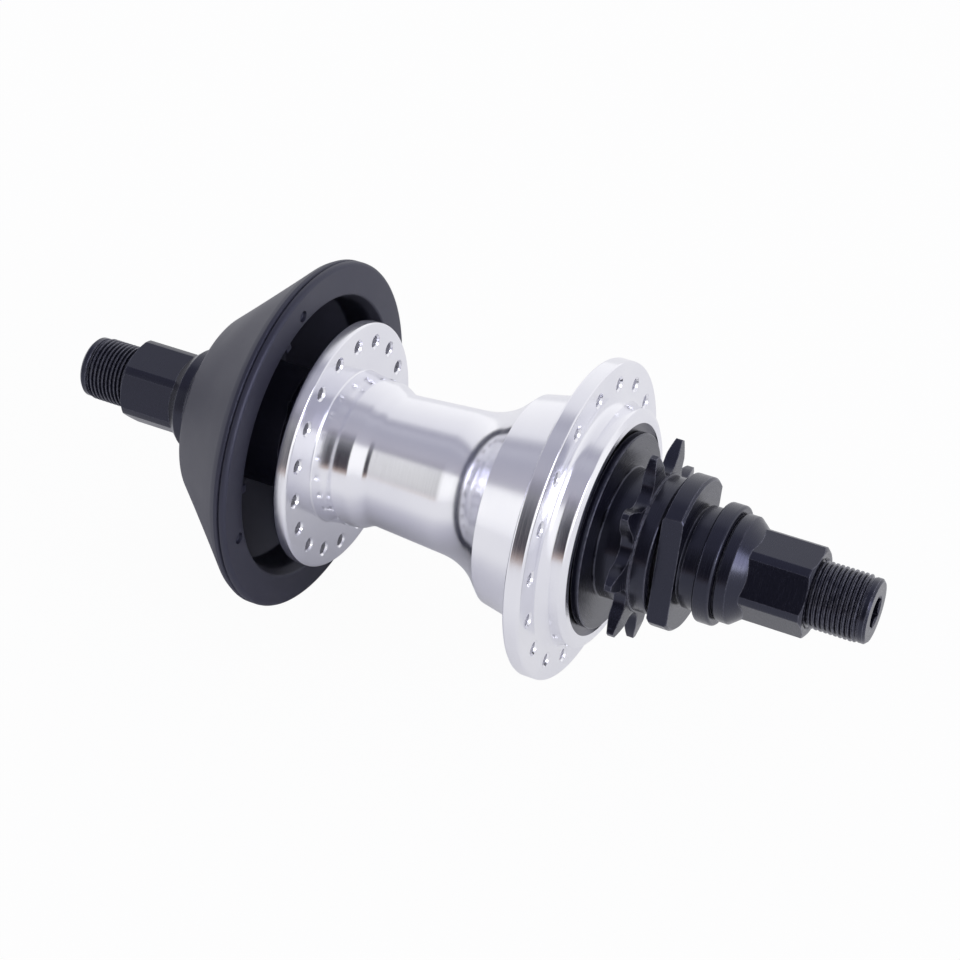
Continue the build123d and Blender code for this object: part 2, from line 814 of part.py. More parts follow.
def axle_nut(corner_angle):
    """Flanged hexagon nut whose neck is swaged into the washer."""
    land = dropout_face + washer_thickness + nut_land_gap
    flange = land + nut_land_width
    neck_radius = washer_bore_radius - neck_clearance
    inner_end = dropout_face + running_gap
    cone_start = flange + nut_flange_width
    hex_start = cone_start + nut_flange_cone
    hex_end = hex_start + nut_hex_length
    base = turned(
        (inner_end, thread_bore),
        (hex_start, thread_bore),
        (hex_start, nut_corner_radius),
        (cone_start, nut_flange_radius),
        (flange, nut_flange_radius),
        (flange, nut_land_radius),
        (land, nut_land_radius),
        (land, neck_radius),
        (inner_end + swage_thickness, neck_radius),
        (inner_end + swage_thickness, swage_radius),
        (inner_end, swage_radius),
    )
    turning = turned(
        (flange, thread_bore),
        (hex_end, thread_bore),
        (hex_end, nut_corner_radius - nut_end_slope * nut_end_chamfer),
        (hex_end - nut_end_chamfer, nut_corner_radius),
        (flange, nut_corner_radius),
    )
    barrel = prism(hexagon(nut_flats, corner_angle), flange, hex_end) & turning
    return base + barrel


save("drive_washer", washer())
save("drive_nut", axle_nut(drive_hex_angle))
save("nondrive_washer", mirror(washer(), Plane.XZ))
save("nondrive_nut", mirror(axle_nut(nondrive_hex_angle), Plane.XZ))
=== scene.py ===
import json
import math

import bmesh
import bpy
from mathutils import Matrix, Vector


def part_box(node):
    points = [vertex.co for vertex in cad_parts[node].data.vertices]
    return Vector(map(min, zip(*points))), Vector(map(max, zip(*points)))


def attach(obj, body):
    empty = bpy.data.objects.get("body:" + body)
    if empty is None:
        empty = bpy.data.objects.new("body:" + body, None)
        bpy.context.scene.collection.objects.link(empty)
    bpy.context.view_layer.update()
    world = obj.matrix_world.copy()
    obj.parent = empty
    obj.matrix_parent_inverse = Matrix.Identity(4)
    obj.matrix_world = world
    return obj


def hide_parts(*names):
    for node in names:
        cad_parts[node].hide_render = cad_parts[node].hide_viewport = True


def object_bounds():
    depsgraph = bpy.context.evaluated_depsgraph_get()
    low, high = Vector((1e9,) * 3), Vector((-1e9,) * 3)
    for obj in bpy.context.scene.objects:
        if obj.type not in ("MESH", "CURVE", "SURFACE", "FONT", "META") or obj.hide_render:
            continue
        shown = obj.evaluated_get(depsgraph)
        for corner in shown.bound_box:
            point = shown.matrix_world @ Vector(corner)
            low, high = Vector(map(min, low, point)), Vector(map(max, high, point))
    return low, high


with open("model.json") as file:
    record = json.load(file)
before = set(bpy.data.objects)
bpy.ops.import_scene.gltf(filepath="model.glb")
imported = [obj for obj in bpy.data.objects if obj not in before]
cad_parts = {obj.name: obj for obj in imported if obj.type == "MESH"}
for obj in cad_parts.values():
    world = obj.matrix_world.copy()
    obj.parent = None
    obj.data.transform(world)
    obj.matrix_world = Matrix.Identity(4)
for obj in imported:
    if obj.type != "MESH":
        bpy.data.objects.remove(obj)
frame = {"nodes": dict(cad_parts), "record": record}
cad_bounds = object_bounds()

# Lengths are in millimetres until mesh code turns them into metres.
# A station is a distance from the middle of the dropouts towards the drive side, along -Y.
MM = 0.001
ROUND_STEPS = 5
ROUND_STEPS_PER_MM = 1.5
LATHE_STEPS = 256
SHARP_ANGLE = math.radians(32)
# Metres between points that are one
WELD_DISTANCE = 1e-7
ON_AXIS = 1e-6
FACE_WEIGHT = 90


# Sizes taken from the frame, so each piece fits the solids that it stands for
def low_station(node):
    """Station of the node's non-drive end."""
    return -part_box(node)[1].y / MM


def high_station(node):
    """Station of the node's drive end."""
    return -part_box(node)[0].y / MM


def widest(node):
    """Largest radius of a round node."""
    low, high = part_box(node)
    return max(high.x, -low.x, high.z, -low.z) / MM


# Mesh helpers
def rounded(corners):
    """Closed outline through (station, radius, rounding) corners."""
    points = []
    count = len(corners)
    for index, corner in enumerate(corners):
        here = Vector(corner[:2])
        rounding = corner[2] if len(corner) > 2 else 0
        if rounding == 0:
            points.append(here)
            continue
        back = (Vector(corners[index - 1][:2]) - here).normalized()
        onward = (Vector(corners[(index + 1) % count][:2]) - here).normalized()
        half = back.angle(onward) / 2
        reach = rounding / math.tan(half)
        centre = here + (back + onward).normalized() * rounding / math.sin(half)
        first = here + back * reach - centre
        last = here + onward * reach - centre
        sweep = first.angle_signed(last)
        steps = max(ROUND_STEPS, int(abs(sweep) * rounding * ROUND_STEPS_PER_MM))
        for step in range(steps + 1):
            turn = Matrix.Rotation(-sweep * step / steps, 2)
            points.append(centre + turn @ first)
    return points


def place(station, radius, angle):
    """Point in metres for a station, a radius and an angle from +X towards +Z."""
    return Vector((radius * math.cos(angle), -station, radius * math.sin(angle))) * MM


def new_object(name, mesh):
    """Object in the scene for a mesh."""
    made = bpy.data.objects.new(name, mesh)
    bpy.context.scene.collection.objects.link(made)
    return made


def from_bmesh(name, work):
    """Object from a bmesh, with its normals facing out."""
    bmesh.ops.remove_doubles(work, verts=work.verts, dist=WELD_DISTANCE)
    bmesh.ops.dissolve_degenerate(work, edges=work.edges, dist=WELD_DISTANCE)
    bmesh.ops.recalc_face_normals(work, faces=work.faces)
    mesh = bpy.data.meshes.new(name)
    work.to_mesh(mesh)
    work.free()
    return new_object(name, mesh)


def stitched(work, near, far):
    """Faces between two rings of vertices, where a vertex may stand for several."""
    count = len(near)
    for step in range(count):
        following = (step + 1) % count
        unique = []
        for vertex in (near[step], near[following], far[following], far[step]):
            if vertex not in unique:
                unique.append(vertex)
        if len(unique) > 2:
            work.faces.new(unique)


def ring(work, station, radius, steps):
    """Vertices of one turned ring; on the axis they are one vertex."""
    if radius < ON_AXIS:
        return [work.verts.new(place(station, 0, 0))] * steps
    turns = [2 * math.pi * step / steps for step in range(steps)]
    return [work.verts.new(place(station, radius, turn)) for turn in turns]


def lathe(name, corners, steps=LATHE_STEPS):
    """Turned solid from a closed outline."""
    work = bmesh.new()
    rings = [ring(work, point.x, point.y, steps) for point in rounded(corners)]
    for index, far in enumerate(rings):
        stitched(work, rings[index - 1], far)
    return from_bmesh(name, work)


def prism(name, outline, start, end):
    """Solid from an (x, z) outline between two stations."""
    work = bmesh.new()
    near = [work.verts.new(Vector((x, -start, z)) * MM) for x, z in outline]
    far = [work.verts.new(Vector((x, -end, z)) * MM) for x, z in outline]
    work.faces.new(near)
    work.faces.new(list(reversed(far)))
    stitched(work, near, far)
    return from_bmesh(name, work)


def rectangle(low_x, high_x, half_height):
    """Corners of a rectangle, level about the X axis."""
    low = [(low_x, -half_height), (high_x, -half_height)]
    return low + [(high_x, half_height), (low_x, half_height)]


def polygon(count, radius, angle):
    """Corners of a regular polygon in the plane across the axle."""
    turns = [math.radians(angle) + 2 * math.pi * step / count for step in range(count)]
    return [(radius * math.cos(turn), radius * math.sin(turn)) for turn in turns]


def turned_by(item, degrees):
    """Turn a piece about the axle, from +X towards +Z."""
    item.data.transform(Matrix.Rotation(-math.radians(degrees), 4, "Y"))
    return item


def moved_out(item, radius, degrees):
    """Move a piece away from the axle in one direction."""
    turn = math.radians(degrees)
    away = Vector((math.cos(turn), 0, math.sin(turn)))
    item.data.transform(Matrix.Translation(away * radius * MM))
    return item


def joined(name, items):
    """One object from several that stand apart."""
    work = bmesh.new()
    for item in items:
        work.from_mesh(item.data)
        bpy.data.objects.remove(item)
    mesh = bpy.data.meshes.new(name)
    work.to_mesh(mesh)
    work.free()
    return new_object(name, mesh)


def apply_modifiers(item):
    """Replace the mesh by what its modifiers make of it."""
    bpy.context.view_layer.update()
    evaluated = item.evaluated_get(bpy.context.evaluated_depsgraph_get())
    mesh = bpy.data.meshes.new_from_object(evaluated)
    item.modifiers.clear()
    item.data = mesh


def combine(item, other, operation):
    """Boolean of two objects; the second is used up."""
    step = item.modifiers.new("combine", "BOOLEAN")
    step.operation = operation
    step.solver = "EXACT"
    step.object = other
    apply_modifiers(item)
    bpy.data.objects.remove(other)
    return item


def bevelled(item, width, segments=2):
    """Soften the sharp edges."""
    step = item.modifiers.new("bevel", "BEVEL")
    step.width = width * MM
    step.segments = segments
    step.limit_method = "ANGLE"
    step.angle_limit = SHARP_ANGLE
    step.use_clamp_overlap = True
    apply_modifiers(item)
    return item


def shade(item):
    """Smooth shading that keeps flat faces flat."""
    item.data.polygons.foreach_set("use_smooth", [True] * len(item.data.polygons))
    item.data.set_sharp_from_angle(angle=SHARP_ANGLE)
    step = item.modifiers.new("weighted", "WEIGHTED_NORMAL")
    step.weight = FACE_WEIGHT
    step.keep_sharp = True


# Finishes: noises are (scale, detail, roughness), and bumps are (strength, depth).
# Depths and wear_and_glint_radius are in metres.
# Lighter rubbed edges: wear on the steel parts, and on black steel also a painted highlight along
# the edges
wear_and_glint_samples = 4
wear_and_glint_radius = 0.00035
wear_and_glint_turn = (0.995, 0.93)
wear_and_glint_noise = (900.0, 3.0, 0.7)
wear_and_glint_breaks = (0.32, 0.56, 0.15, 1.0)
wall_tilt = 0.4
wall_roughness = 0.35
along_marks = 1.2
mark_noise = (1.0, 5.0, 0.65)
mark_depth = 0.00003
blotch_noise = (55.0, 3.0, 0.5)
blotch_roughness = (-0.02, 0.03)
grain_noise = (2600.0, 2.0, 0.6)
grain_share = 0.5
grain_depth = 0.00001
stipple_noise = (2200.0, 3.0, 0.6)
stipple_depth = 0.00006
cloud_noise = (38.0, 4.0, 0.55)
cloud_bump = (0.08, 0.0004)
scuff_stretch = (260.0, 260.0, 5.0)
scuff_noise = (1.0, 5.0, 0.7)
scuff_cover = (0.60, 0.72, 0.0, 0.4)
scuff_lift = 1.6
colour_spread = (0.35, 0.65)
gloss_spread = (0.3, 0.7)


# Material helpers
def node_tree(name):
    """New material with its node tree and principled shader."""
    material = bpy.data.materials.new(name)
    material.use_nodes = True
    tree = material.node_tree
    return material, tree, tree.nodes["Principled BSDF"]


def add(tree, kind, **settings):
    """Node with its settings and input values."""
    made = tree.nodes.new(kind)
    for key, value in settings.items():
        if key in made.inputs:
            made.inputs[key].default_value = value
        else:
            setattr(made, key, value)
    return made


def maths(tree, operation, *values):
    """Result of a math node on linked or plain values."""
    node = add(tree, "ShaderNodeMath", operation=operation)
    for socket, value in zip(node.inputs, values):
        if isinstance(value, (int, float)):
            socket.default_value = value
        else:
            tree.links.new(value, socket)
    return node.outputs[0]


def turning_coordinates(tree):
    """(radius, y, angle) of a point, for marks left by turning, and the plain place."""
    source = add(tree, "ShaderNodeTexCoord").outputs["Object"]
    split = add(tree, "ShaderNodeSeparateXYZ")
    tree.links.new(source, split.inputs[0])
    x, y, z = split.outputs
    squares = maths(tree, "ADD", maths(tree, "MULTIPLY", x, x), maths(tree, "MULTIPLY", z, z))
    merge = add(tree, "ShaderNodeCombineXYZ")
    tree.links.new(maths(tree, "SQRT", squares), merge.inputs[0])
    tree.links.new(y, merge.inputs[1])
    tree.links.new(maths(tree, "ARCTAN2", z, x), merge.inputs[2])
    return merge.outputs[0], source


def scaled(tree, vector, factors):
    """Vector times three factors."""
    node = add(tree, "ShaderNodeVectorMath", operation="MULTIPLY")
    tree.links.new(vector, node.inputs[0])
    node.inputs[1].default_value = factors
    return node.outputs[0]


def noise(tree, vector, scale, detail, roughness):
    """Noise value along a vector."""
    node = add(tree, "ShaderNodeTexNoise", Scale=scale, Detail=detail, Roughness=roughness)
    tree.links.new(vector, node.inputs["Vector"])
    return node.outputs["Fac"]


def fitted(tree, value, low, high, to_low, to_high, interpolation="LINEAR"):
    """Value mapped from one range to another."""
    node = add(tree, "ShaderNodeMapRange", interpolation_type=interpolation)
    for index, number in enumerate((low, high, to_low, to_high)):
        node.inputs[index + 1].default_value = number
    tree.links.new(value, node.inputs["Value"])
    return node.outputs["Result"]


def mixed(tree, factor, first, second, blend="MIX"):
    """Two colours mixed by a factor."""
    node = add(tree, "ShaderNodeMix", data_type="RGBA", blend_type=blend)
    factor_in, first_in, second_in = node.inputs[0], node.inputs[6], node.inputs[7]
    if isinstance(factor, float):
        factor_in.default_value = factor
    else:
        tree.links.new(factor, factor_in)
    for socket, colour in ((first_in, first), (second_in, second)):
        if isinstance(colour, tuple):
            socket.default_value = (*colour, 1.0)
        else:
            tree.links.new(colour, socket)
    return node.outputs[2]


def bumped(tree, shader, height, strength, distance):
    """Bump from a height into the shader, on top of what is there."""
    node = add(tree, "ShaderNodeBump", Strength=strength, Distance=distance)
    tree.links.new(height, node.inputs["Height"])
    if shader.inputs["Normal"].is_linked:
        tree.links.new(shader.inputs["Normal"].links[0].from_socket, node.inputs["Normal"])
    tree.links.new(node.outputs["Normal"], shader.inputs["Normal"])


def edge_wear_and_glint(tree, flat, radius):
    """1 at rubbed edges and 0 on open faces, broken up by noise. It marks wear, and on black steel
    a painted highlight along the edges.
    """
    bevel = add(tree, "ShaderNodeBevel", samples=wear_and_glint_samples)
    bevel.inputs["Radius"].default_value = radius
    geometry = add(tree, "ShaderNodeNewGeometry")
    dot = add(tree, "ShaderNodeVectorMath", operation="DOT_PRODUCT")
    tree.links.new(bevel.outputs["Normal"], dot.inputs[0])
    tree.links.new(geometry.outputs["Normal"], dot.inputs[1])
    edge = fitted(tree, dot.outputs["Value"], *wear_and_glint_turn, 0.0, 1.0)
    broken = fitted(tree, noise(tree, flat, *wear_and_glint_noise), *wear_and_glint_breaks)
    return maths(tree, "MULTIPLY", edge, broken)


def drilled_walls(tree, turning, circles):
    """1 on the walls of holes drilled along the axle, in (inner, outer, low y, high y) rings."""
    spot = add(tree, "ShaderNodeSeparateXYZ")
    tree.links.new(turning, spot.inputs[0])
    facing = add(tree, "ShaderNodeSeparateXYZ")
    tree.links.new(add(tree, "ShaderNodeNewGeometry").outputs["Normal"], facing.inputs[0])
    along = maths(tree, "ABSOLUTE", facing.outputs["Y"])
    masks = []
    radius, y = spot.outputs[:2]
    for inner, outer, low, high in circles:
        mask = maths(tree, "GREATER_THAN", radius, inner * MM)
        mask = maths(tree, "MULTIPLY", mask, maths(tree, "LESS_THAN", radius, outer * MM))
        mask = maths(tree, "MULTIPLY", mask, maths(tree, "GREATER_THAN", y, low * MM))
        mask = maths(tree, "MULTIPLY", mask, maths(tree, "LESS_THAN", y, high * MM))
        masks.append(mask)
    ring_mask = maths(tree, "MAXIMUM", *masks)
    return maths(tree, "MULTIPLY", ring_mask, maths(tree, "LESS_THAN", along, wall_tilt))


def turned_metal(name, colour, tint, roughness, metallic, groove, mark_scale, **extras):
    """Finish of a turned part, bare or blacked: marks, blotches, grain and lighter rubbed edges,
    which are wear and, on black steel, a painted highlight.
    """
    worn = extras.get("worn")
    gloss = extras.get("gloss")
    holes = extras.get("holes")
    material, tree, shader = node_tree(name)
    turning, flat = turning_coordinates(tree)
    marks = noise(tree, scaled(tree, turning, (mark_scale, mark_scale, along_marks)), *mark_noise)
    blotch = noise(tree, flat, *blotch_noise)
    grain = noise(tree, flat, *grain_noise)
    base = mixed(tree, fitted(tree, blotch, *colour_spread, 0.0, 1.0), colour, tint)
    if worn:
        # Lighter colour at edges: wear, and on black steel a painted highlight
        base = mixed(tree, edge_wear_and_glint(tree, flat, wear_and_glint_radius), base, worn)
    tree.links.new(base, shader.inputs["Base Color"])
    shader.inputs["Metallic"].default_value = metallic
    if gloss:
        shader.inputs["IOR"].default_value = gloss[0]
        shader.inputs["Specular Tint"].default_value = (*gloss[1], 1.0)
    rough = fitted(tree, marks, *gloss_spread, *roughness)
    rough = maths(tree, "ADD", rough, fitted(tree, blotch, *gloss_spread, *blotch_roughness))
    if holes:
        walls = drilled_walls(tree, turning, holes)
        rough = maths(tree, "ADD", rough, maths(tree, "MULTIPLY", walls, wall_roughness))
    tree.links.new(rough, shader.inputs["Roughness"])
    bumped(tree, shader, marks, groove, mark_depth)
    bumped(tree, shader, grain, groove * grain_share, grain_depth)
    return material


def moulded(name, colour, tint, roughness, stipple, gloss):
    """Moulded plastic or rubber with a stippled skin and faint handling marks."""
    material, tree, shader = node_tree(name)
    turning, flat = turning_coordinates(tree)
    fine = noise(tree, flat, *stipple_noise)
    cloud = noise(tree, flat, *cloud_noise)
    scuff = noise(tree, scaled(tree, turning, scuff_stretch), *scuff_noise)
    base = mixed(tree, fitted(tree, cloud, *colour_spread, 0.0, 1.0), colour, tint)
    lighter = tuple(channel * scuff_lift for channel in tint)
    base = mixed(tree, fitted(tree, scuff, *scuff_cover), base, lighter)
    tree.links.new(base, shader.inputs["Base Color"])
    tree.links.new(fitted(tree, cloud, *gloss_spread, *roughness), shader.inputs["Roughness"])
    shader.inputs["IOR"].default_value = gloss[0]
    shader.inputs["Specular Tint"].default_value = (*gloss[1], 1.0)
    bumped(tree, shader, fine, stipple, stipple_depth)
    bumped(tree, shader, cloud, *cloud_bump)
    return material


# Materials, one for each finish
polished_alloy = turned_metal(
    "polished_alloy",
    colour=(0.86, 0.86, 0.90),
    tint=(0.82, 0.82, 0.87),
    roughness=(0.12, 0.21),
    metallic=1.0,
    groove=0.10,
    mark_scale=5200.0,
    holes=((21.2, 24.2, 25.9, 29.6), (27.8, 30.8, -30.0, -25.9)),
)
black_steel = turned_metal(
    "black_steel",
    colour=(0.0026, 0.0026, 0.0062),
    tint=(0.0048, 0.0048, 0.0100),
    roughness=(0.19, 0.29),
    metallic=0.0,
    groove=0.22,
    mark_scale=3600.0,
    # Lighter edges of black steel: wear and a painted highlight along the edges
    worn=(0.130, 0.130, 0.155),
    gloss=(1.58, (0.70, 0.73, 1.0)),
)
bearing_steel = turned_metal(
    "bearing_steel",
    colour=(0.50, 0.50, 0.52),
    tint=(0.44, 0.44, 0.47),
    roughness=(0.16, 0.26),
    metallic=1.0,
    groove=0.12,
    mark_scale=6000.0,
)
cage_steel = turned_metal(
    "cage_steel",
    colour=(0.40, 0.38, 0.34),
    tint=(0.34, 0.32, 0.29),
    roughness=(0.30, 0.42),
    metallic=1.0,
    groove=0.10,
    mark_scale=3000.0,
)
spacer_steel = turned_metal(
    "spacer_steel",
    colour=(0.34, 0.34, 0.36),
    tint=(0.28, 0.28, 0.30),
    roughness=(0.26, 0.40),
    metallic=1.0,
    groove=0.30,
    mark_scale=2600.0,
)
clutch_steel = turned_metal(
    "clutch_steel",
    colour=(0.27, 0.26, 0.25),
    tint=(0.20, 0.19, 0.19),
    roughness=(0.30, 0.44),
    metallic=1.0,
    groove=0.30,
    mark_scale=2400.0,
    worn=(0.50, 0.50, 0.50),
)
spring_steel = turned_metal(
    "spring_steel",
    colour=(0.17, 0.17, 0.19),
    tint=(0.12, 0.12, 0.14),
    roughness=(0.28, 0.38),
    metallic=1.0,
    groove=0.12,
    mark_scale=3600.0,
    worn=(0.45, 0.45, 0.46),
)
black_nylon = moulded(
    "black_nylon",
    colour=(0.0090, 0.0090, 0.0165),
    tint=(0.0115, 0.0115, 0.0205),
    roughness=(0.40, 0.50),
    stipple=0.30,
    gloss=(1.66, (0.72, 0.74, 1.0)),
)
seal_rubber = moulded(
    "seal_rubber",
    colour=(0.016, 0.016, 0.018),
    tint=(0.024, 0.024, 0.026),
    roughness=(0.45, 0.60),
    stipple=0.20,
    gloss=(1.5, (1.0, 1.0, 1.0)),
)
slot_material = {
    "polished_alloy": polished_alloy,
    "black_steel": black_steel,
    "bearing_steel": bearing_steel,
    "cage_steel": cage_steel,
    "seal_rubber": seal_rubber,
    "spacer_steel": spacer_steel,
    "clutch_steel": clutch_steel,
    "spring_steel": spring_steel,
    "black_nylon": black_nylon,
}


def dress(item, body, node, slot):
    """Give a finished piece its material and smooth shading, put it on its body and hide the node
    that it stands for.
    """
    item.data.materials.clear()
    item.data.materials.append(slot_material[slot])
    shade(item)
    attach(item, body)
    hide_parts(node)


# Stations and sizes that several pieces share
axle_end = high_station("axle")
dropout_face = low_station("drive_washer")
shell_right = high_station("hub_shell")
shell_left = low_station("hub_shell")
bearing_right = high_station("shell_bearing_outer_race")
bearing_left = low_station("shell_bearing_outer_race")
circlip_end = high_station("shell_circlip")
nondrive_seat_end = high_station("nondrive_bearing_outer_race")
guard_face = high_station("hub_guard")
guard_end = low_station("hub_guard")
drive_nose = low_station("drive_cone_nut")
nondrive_nose = high_station("nondrive_cone_nut")
thread_bore = 6.95
axle_bore = 7.55
spacer_radius = 10.65
wrench_disc_radius = 16.0
wrench_disc_width = 4.4
wrench_disc_edge = 0.5
wrench_flats = 22.0
wrench_flat_angle = 165.5
drive_nose_length = 0.5
nondrive_nose_length = 2.0
nose_radius = 9.0
drive_disc_start = drive_nose + drive_nose_length
drive_disc_end = drive_disc_start + wrench_disc_width
nondrive_disc_end = nondrive_nose - nondrive_nose_length
nondrive_disc_start = nondrive_disc_end - wrench_disc_width
cut_past = 1.0

# Hub shell: stations, then radii, then the spoke holes
right_flange = (26.14, 29.74)
left_flange = (-29.3, -26.2)
lip_length = 0.8
clutch_cup_floor = 11.5
drum_end = (14.0, 22.5)
barrel_right = (7.5, 16.0)
barrel_left = (-15.6, 14.3)
bulge_shoulder = (-18.2, 15.75)
bulge_crest = (-21.4, -22.6)
bulge_radius = 16.1
bulge_foot_radius = 16.6
right_flange_radius = widest("hub_shell") - 0.01
left_flange_radius = 26.8
lip_radius = 23.9
mouth_bore = 22.4
boss_radius = 25.2
drum_radius = 25.1
left_boss_radius = 17.4
left_seat_radius = 14.0
barrel_bore = 12.0
cup_floor_radius = 17.6
cup_mouth_radius = 20.2
right_seat_radius = 21.0
circlip_groove_radius = 22.95
shell_steps = 360
spoke_count = 18
right_spokes = (58.6, 86.21)
left_spokes = (45.4, 76.32)
hole_radius = 1.3
hole_steps = 40
sink_radius = 1.7
sink_depth = 0.4
sink_land = 0.03


def spoke_cutters(circle, angle, start, end):
    """Countersunk hole cutters for one flange, in one mesh."""
    cutters = []
    for index in range(spoke_count):
        cutter = lathe(
            "cutter",
            [
                (start - cut_past, 0),
                (end + cut_past, 0),
                (end + cut_past, sink_radius),
                (end - sink_land, sink_radius),
                (end - sink_depth, hole_radius),
                (start + sink_depth, hole_radius),
                (start + sink_land, sink_radius),
                (start - cut_past, sink_radius),
            ],
            hole_steps,
        )
        cutters.append(moved_out(cutter, circle / 2, angle + 360 / spoke_count * index))
    return joined("cutters", cutters)


def make_shell():
    """Hub shell with its two drilled flanges, its bearing seats and the clutch cup."""
    shell = lathe(
        "shell",
        [
            (shell_right, mouth_bore, 0.12),
            (shell_right, lip_radius, 0.15),
            (shell_right - lip_length, boss_radius, 0.6),
            (right_flange[1], boss_radius, 2.4),
            (right_flange[1], right_flange_radius, 0.55),
            (right_flange[0], right_flange_radius, 0.55),
            (right_flange[0], drum_radius, 1.4),
            (*drum_end, 0.25),
            (*barrel_right, 16.0),
            (*barrel_left, 4.0),
            (*bulge_shoulder, 3.0),
            (bulge_crest[0], bulge_radius, 8.0),
            (bulge_crest[1], bulge_radius, 8.0),
            (left_flange[1], bulge_foot_radius, 0.4),
            (left_flange[1], left_flange_radius, 0.6),
            (left_flange[0], left_flange_radius, 0.6),
            (left_flange[0], left_boss_radius, 0.8),
            (shell_left, left_boss_radius, 0.4),
            (shell_left, left_seat_radius, 0.15),
            (nondrive_seat_end, left_seat_radius),
            (nondrive_seat_end, barrel_bore),
            (clutch_cup_floor, barrel_bore),
            (clutch_cup_floor, cup_floor_radius),
            (bearing_left, cup_mouth_radius),
            (bearing_left, right_seat_radius),
            (bearing_right, right_seat_radius),
            (bearing_right, circlip_groove_radius),
            (circlip_end, circlip_groove_radius),
            (circlip_end, mouth_bore),
        ],
        shell_steps,
    )
    shell = combine(shell, spoke_cutters(*right_spokes, *right_flange), "DIFFERENCE")
    shell = combine(shell, spoke_cutters(*left_spokes, *left_flange), "DIFFERENCE")
    dress(shell, "shell_group", "hub_shell", "polished_alloy")


# Hub guard
guard_rim = widest("hub_guard") - 0.02
guard_rim_start = -36.2
guard_end_radius = 19.3
guard_steps = 300
cone_start = (guard_end + 1.0, 21.22)
cone_middle = (-46.0, 29.3)
cone_end = (-37.2, 37.4)
cone_steps = 28
crease = guard_face - 1.6
crease_half_width = 0.34
crease_floor = 0.05
crease_depth = 0.46
mouth_radius = 29.8
mouth_end = -42.3
lip_flare = 1.2
lip_depth = 2.4
cavity_floor = -53.5
cavity_floor_radius = 19.72
sleeve_radius = 13.2
sleeve_bore = 10.69
tab_height = 1.2
tab_half_width = 0.9
tab_root = 0.9
tab_recess = 0.6
tab_length = 6.0
tab_edge = 0.22
tab_angles = (107.0, 168.0, 287.0, 348.0)
dimple_circle = 33.1
dimple_angle = 96.0
dimple_count = 4
dimple_depth = 0.8
dimple_top_radius = 1.35
dimple_floor_radius = 1.1


def arc_through(start, middle, end, steps):
    """Points of the arc through three (station, radius) points."""
    a, b, c = Vector(start), Vector(middle), Vector(end)
    d = 2 * (a.x * (b.y - c.y) + b.x * (c.y - a.y) + c.x * (a.y - b.y))
    squares = [point.length_squared for point in (a, b, c)]
    x = (squares[0] * (b.y - c.y) + squares[1] * (c.y - a.y) + squares[2] * (a.y - b.y)) / d
    y = (squares[0] * (c.x - b.x) + squares[1] * (a.x - c.x) + squares[2] * (b.x - a.x)) / d
    centre = Vector((x, y))
    first = a - centre
    sweep = first.angle_signed(c - centre)
    turns = [Matrix.Rotation(-sweep * step / steps, 2) for step in range(steps + 1)]
    return [tuple(centre + turn @ first) for turn in turns]


def make_guard():
    """Hollow nylon guard with a beaded rim, a rolled mouth, tabs and dimples."""
    guard = lathe(
        "guard",
        [
            (guard_end, guard_end_radius, 0.5),
            *arc_through(cone_start, cone_middle, cone_end, cone_steps),
            (guard_rim_start, guard_rim, 0.4),
            (crease - crease_half_width, guard_rim, 0.08),
            (crease - crease_floor, guard_rim - crease_depth),
            (crease + crease_floor, guard_rim - crease_depth),
            (crease + crease_half_width, guard_rim, 0.08),
            (guard_face, guard_rim, 0.93),
            (guard_face, mouth_radius + lip_flare, 0.7),
            (guard_face - lip_depth, mouth_radius, 3.0),
            (mouth_end, mouth_radius, 1.0),
            (cavity_floor, cavity_floor_radius, 1.0),
            (cavity_floor, sleeve_radius, 0.6),
            (nondrive_disc_start, sleeve_radius, 0.3),
            (nondrive_disc_start, sleeve_bore),
            (guard_end, sleeve_bore, 0.3),
        ],
        guard_steps,
    )
    tabs = []
    for angle in tab_angles:
        outline = rectangle(mouth_radius - tab_height, mouth_radius + tab_root, tab_half_width)
        tab = prism("tab", outline, guard_face - tab_recess - tab_length, guard_face - tab_recess)
        tabs.append(turned_by(bevelled(tab, tab_edge), angle))
    guard = combine(guard, joined("tabs", tabs), "UNION")
    low = guard_face - dimple_depth
    high = guard_face + 0.5
    walls = [(low, 0), (high, 0), (high, dimple_top_radius), (low, dimple_floor_radius, 0.2)]
    dimples = []
    for index in range(dimple_count):
        dimple = lathe("dimple", walls, hole_steps)
        dimples.append(moved_out(dimple, dimple_circle, dimple_angle + 360 / dimple_count * index))
    guard = combine(guard, joined("dimples", dimples), "DIFFERENCE")
    dress(guard, "axle_group", "hub_guard", "black_nylon")


# Axle
thread_radius = 6.9
thread_depth = 0.55
thread_pitch = 1.0
thread_profile = ((0.0, 1.0), (0.24, 1.0), (0.54, 0.0), (0.70, 0.0))
thread_fade = 0.8
thread_steps = 96
tip_length = 1.6
tip_radius = 6.65
tip_chamfer = 0.5
tip_step = 0.1
shank_radius = 7.5
shank_chamfer = 0.2
shank_gap = 0.3
socket_flats = 6.0
socket_depth = 10.0
socket_angle = 12.0
countersink_reach = 0.3
countersink_floor_radius = 3.1
countersink_top_radius = 3.9
countersink_steps = 64


def thread_rows(work, start, end):
    """Rows of a right-hand thread from one station to a higher one."""
    rows = []
    turns = int((end - start) / thread_pitch) + 2
    for turn in range(-1, turns):
        for share, height in thread_profile:
            row = []
            for step in range(thread_steps):
                station = start + thread_pitch * (turn + share + step / thread_steps)
                station = min(max(station, start), end)
                fade = min(1.0, (end - station) / thread_fade, (station - start) / thread_fade)
                radius = thread_radius - thread_depth * (1 - height * fade)
                angle = 2 * math.pi * step / thread_steps
                row.append(work.verts.new(place(station, radius, angle)))
            rows.append(row)
    return rows


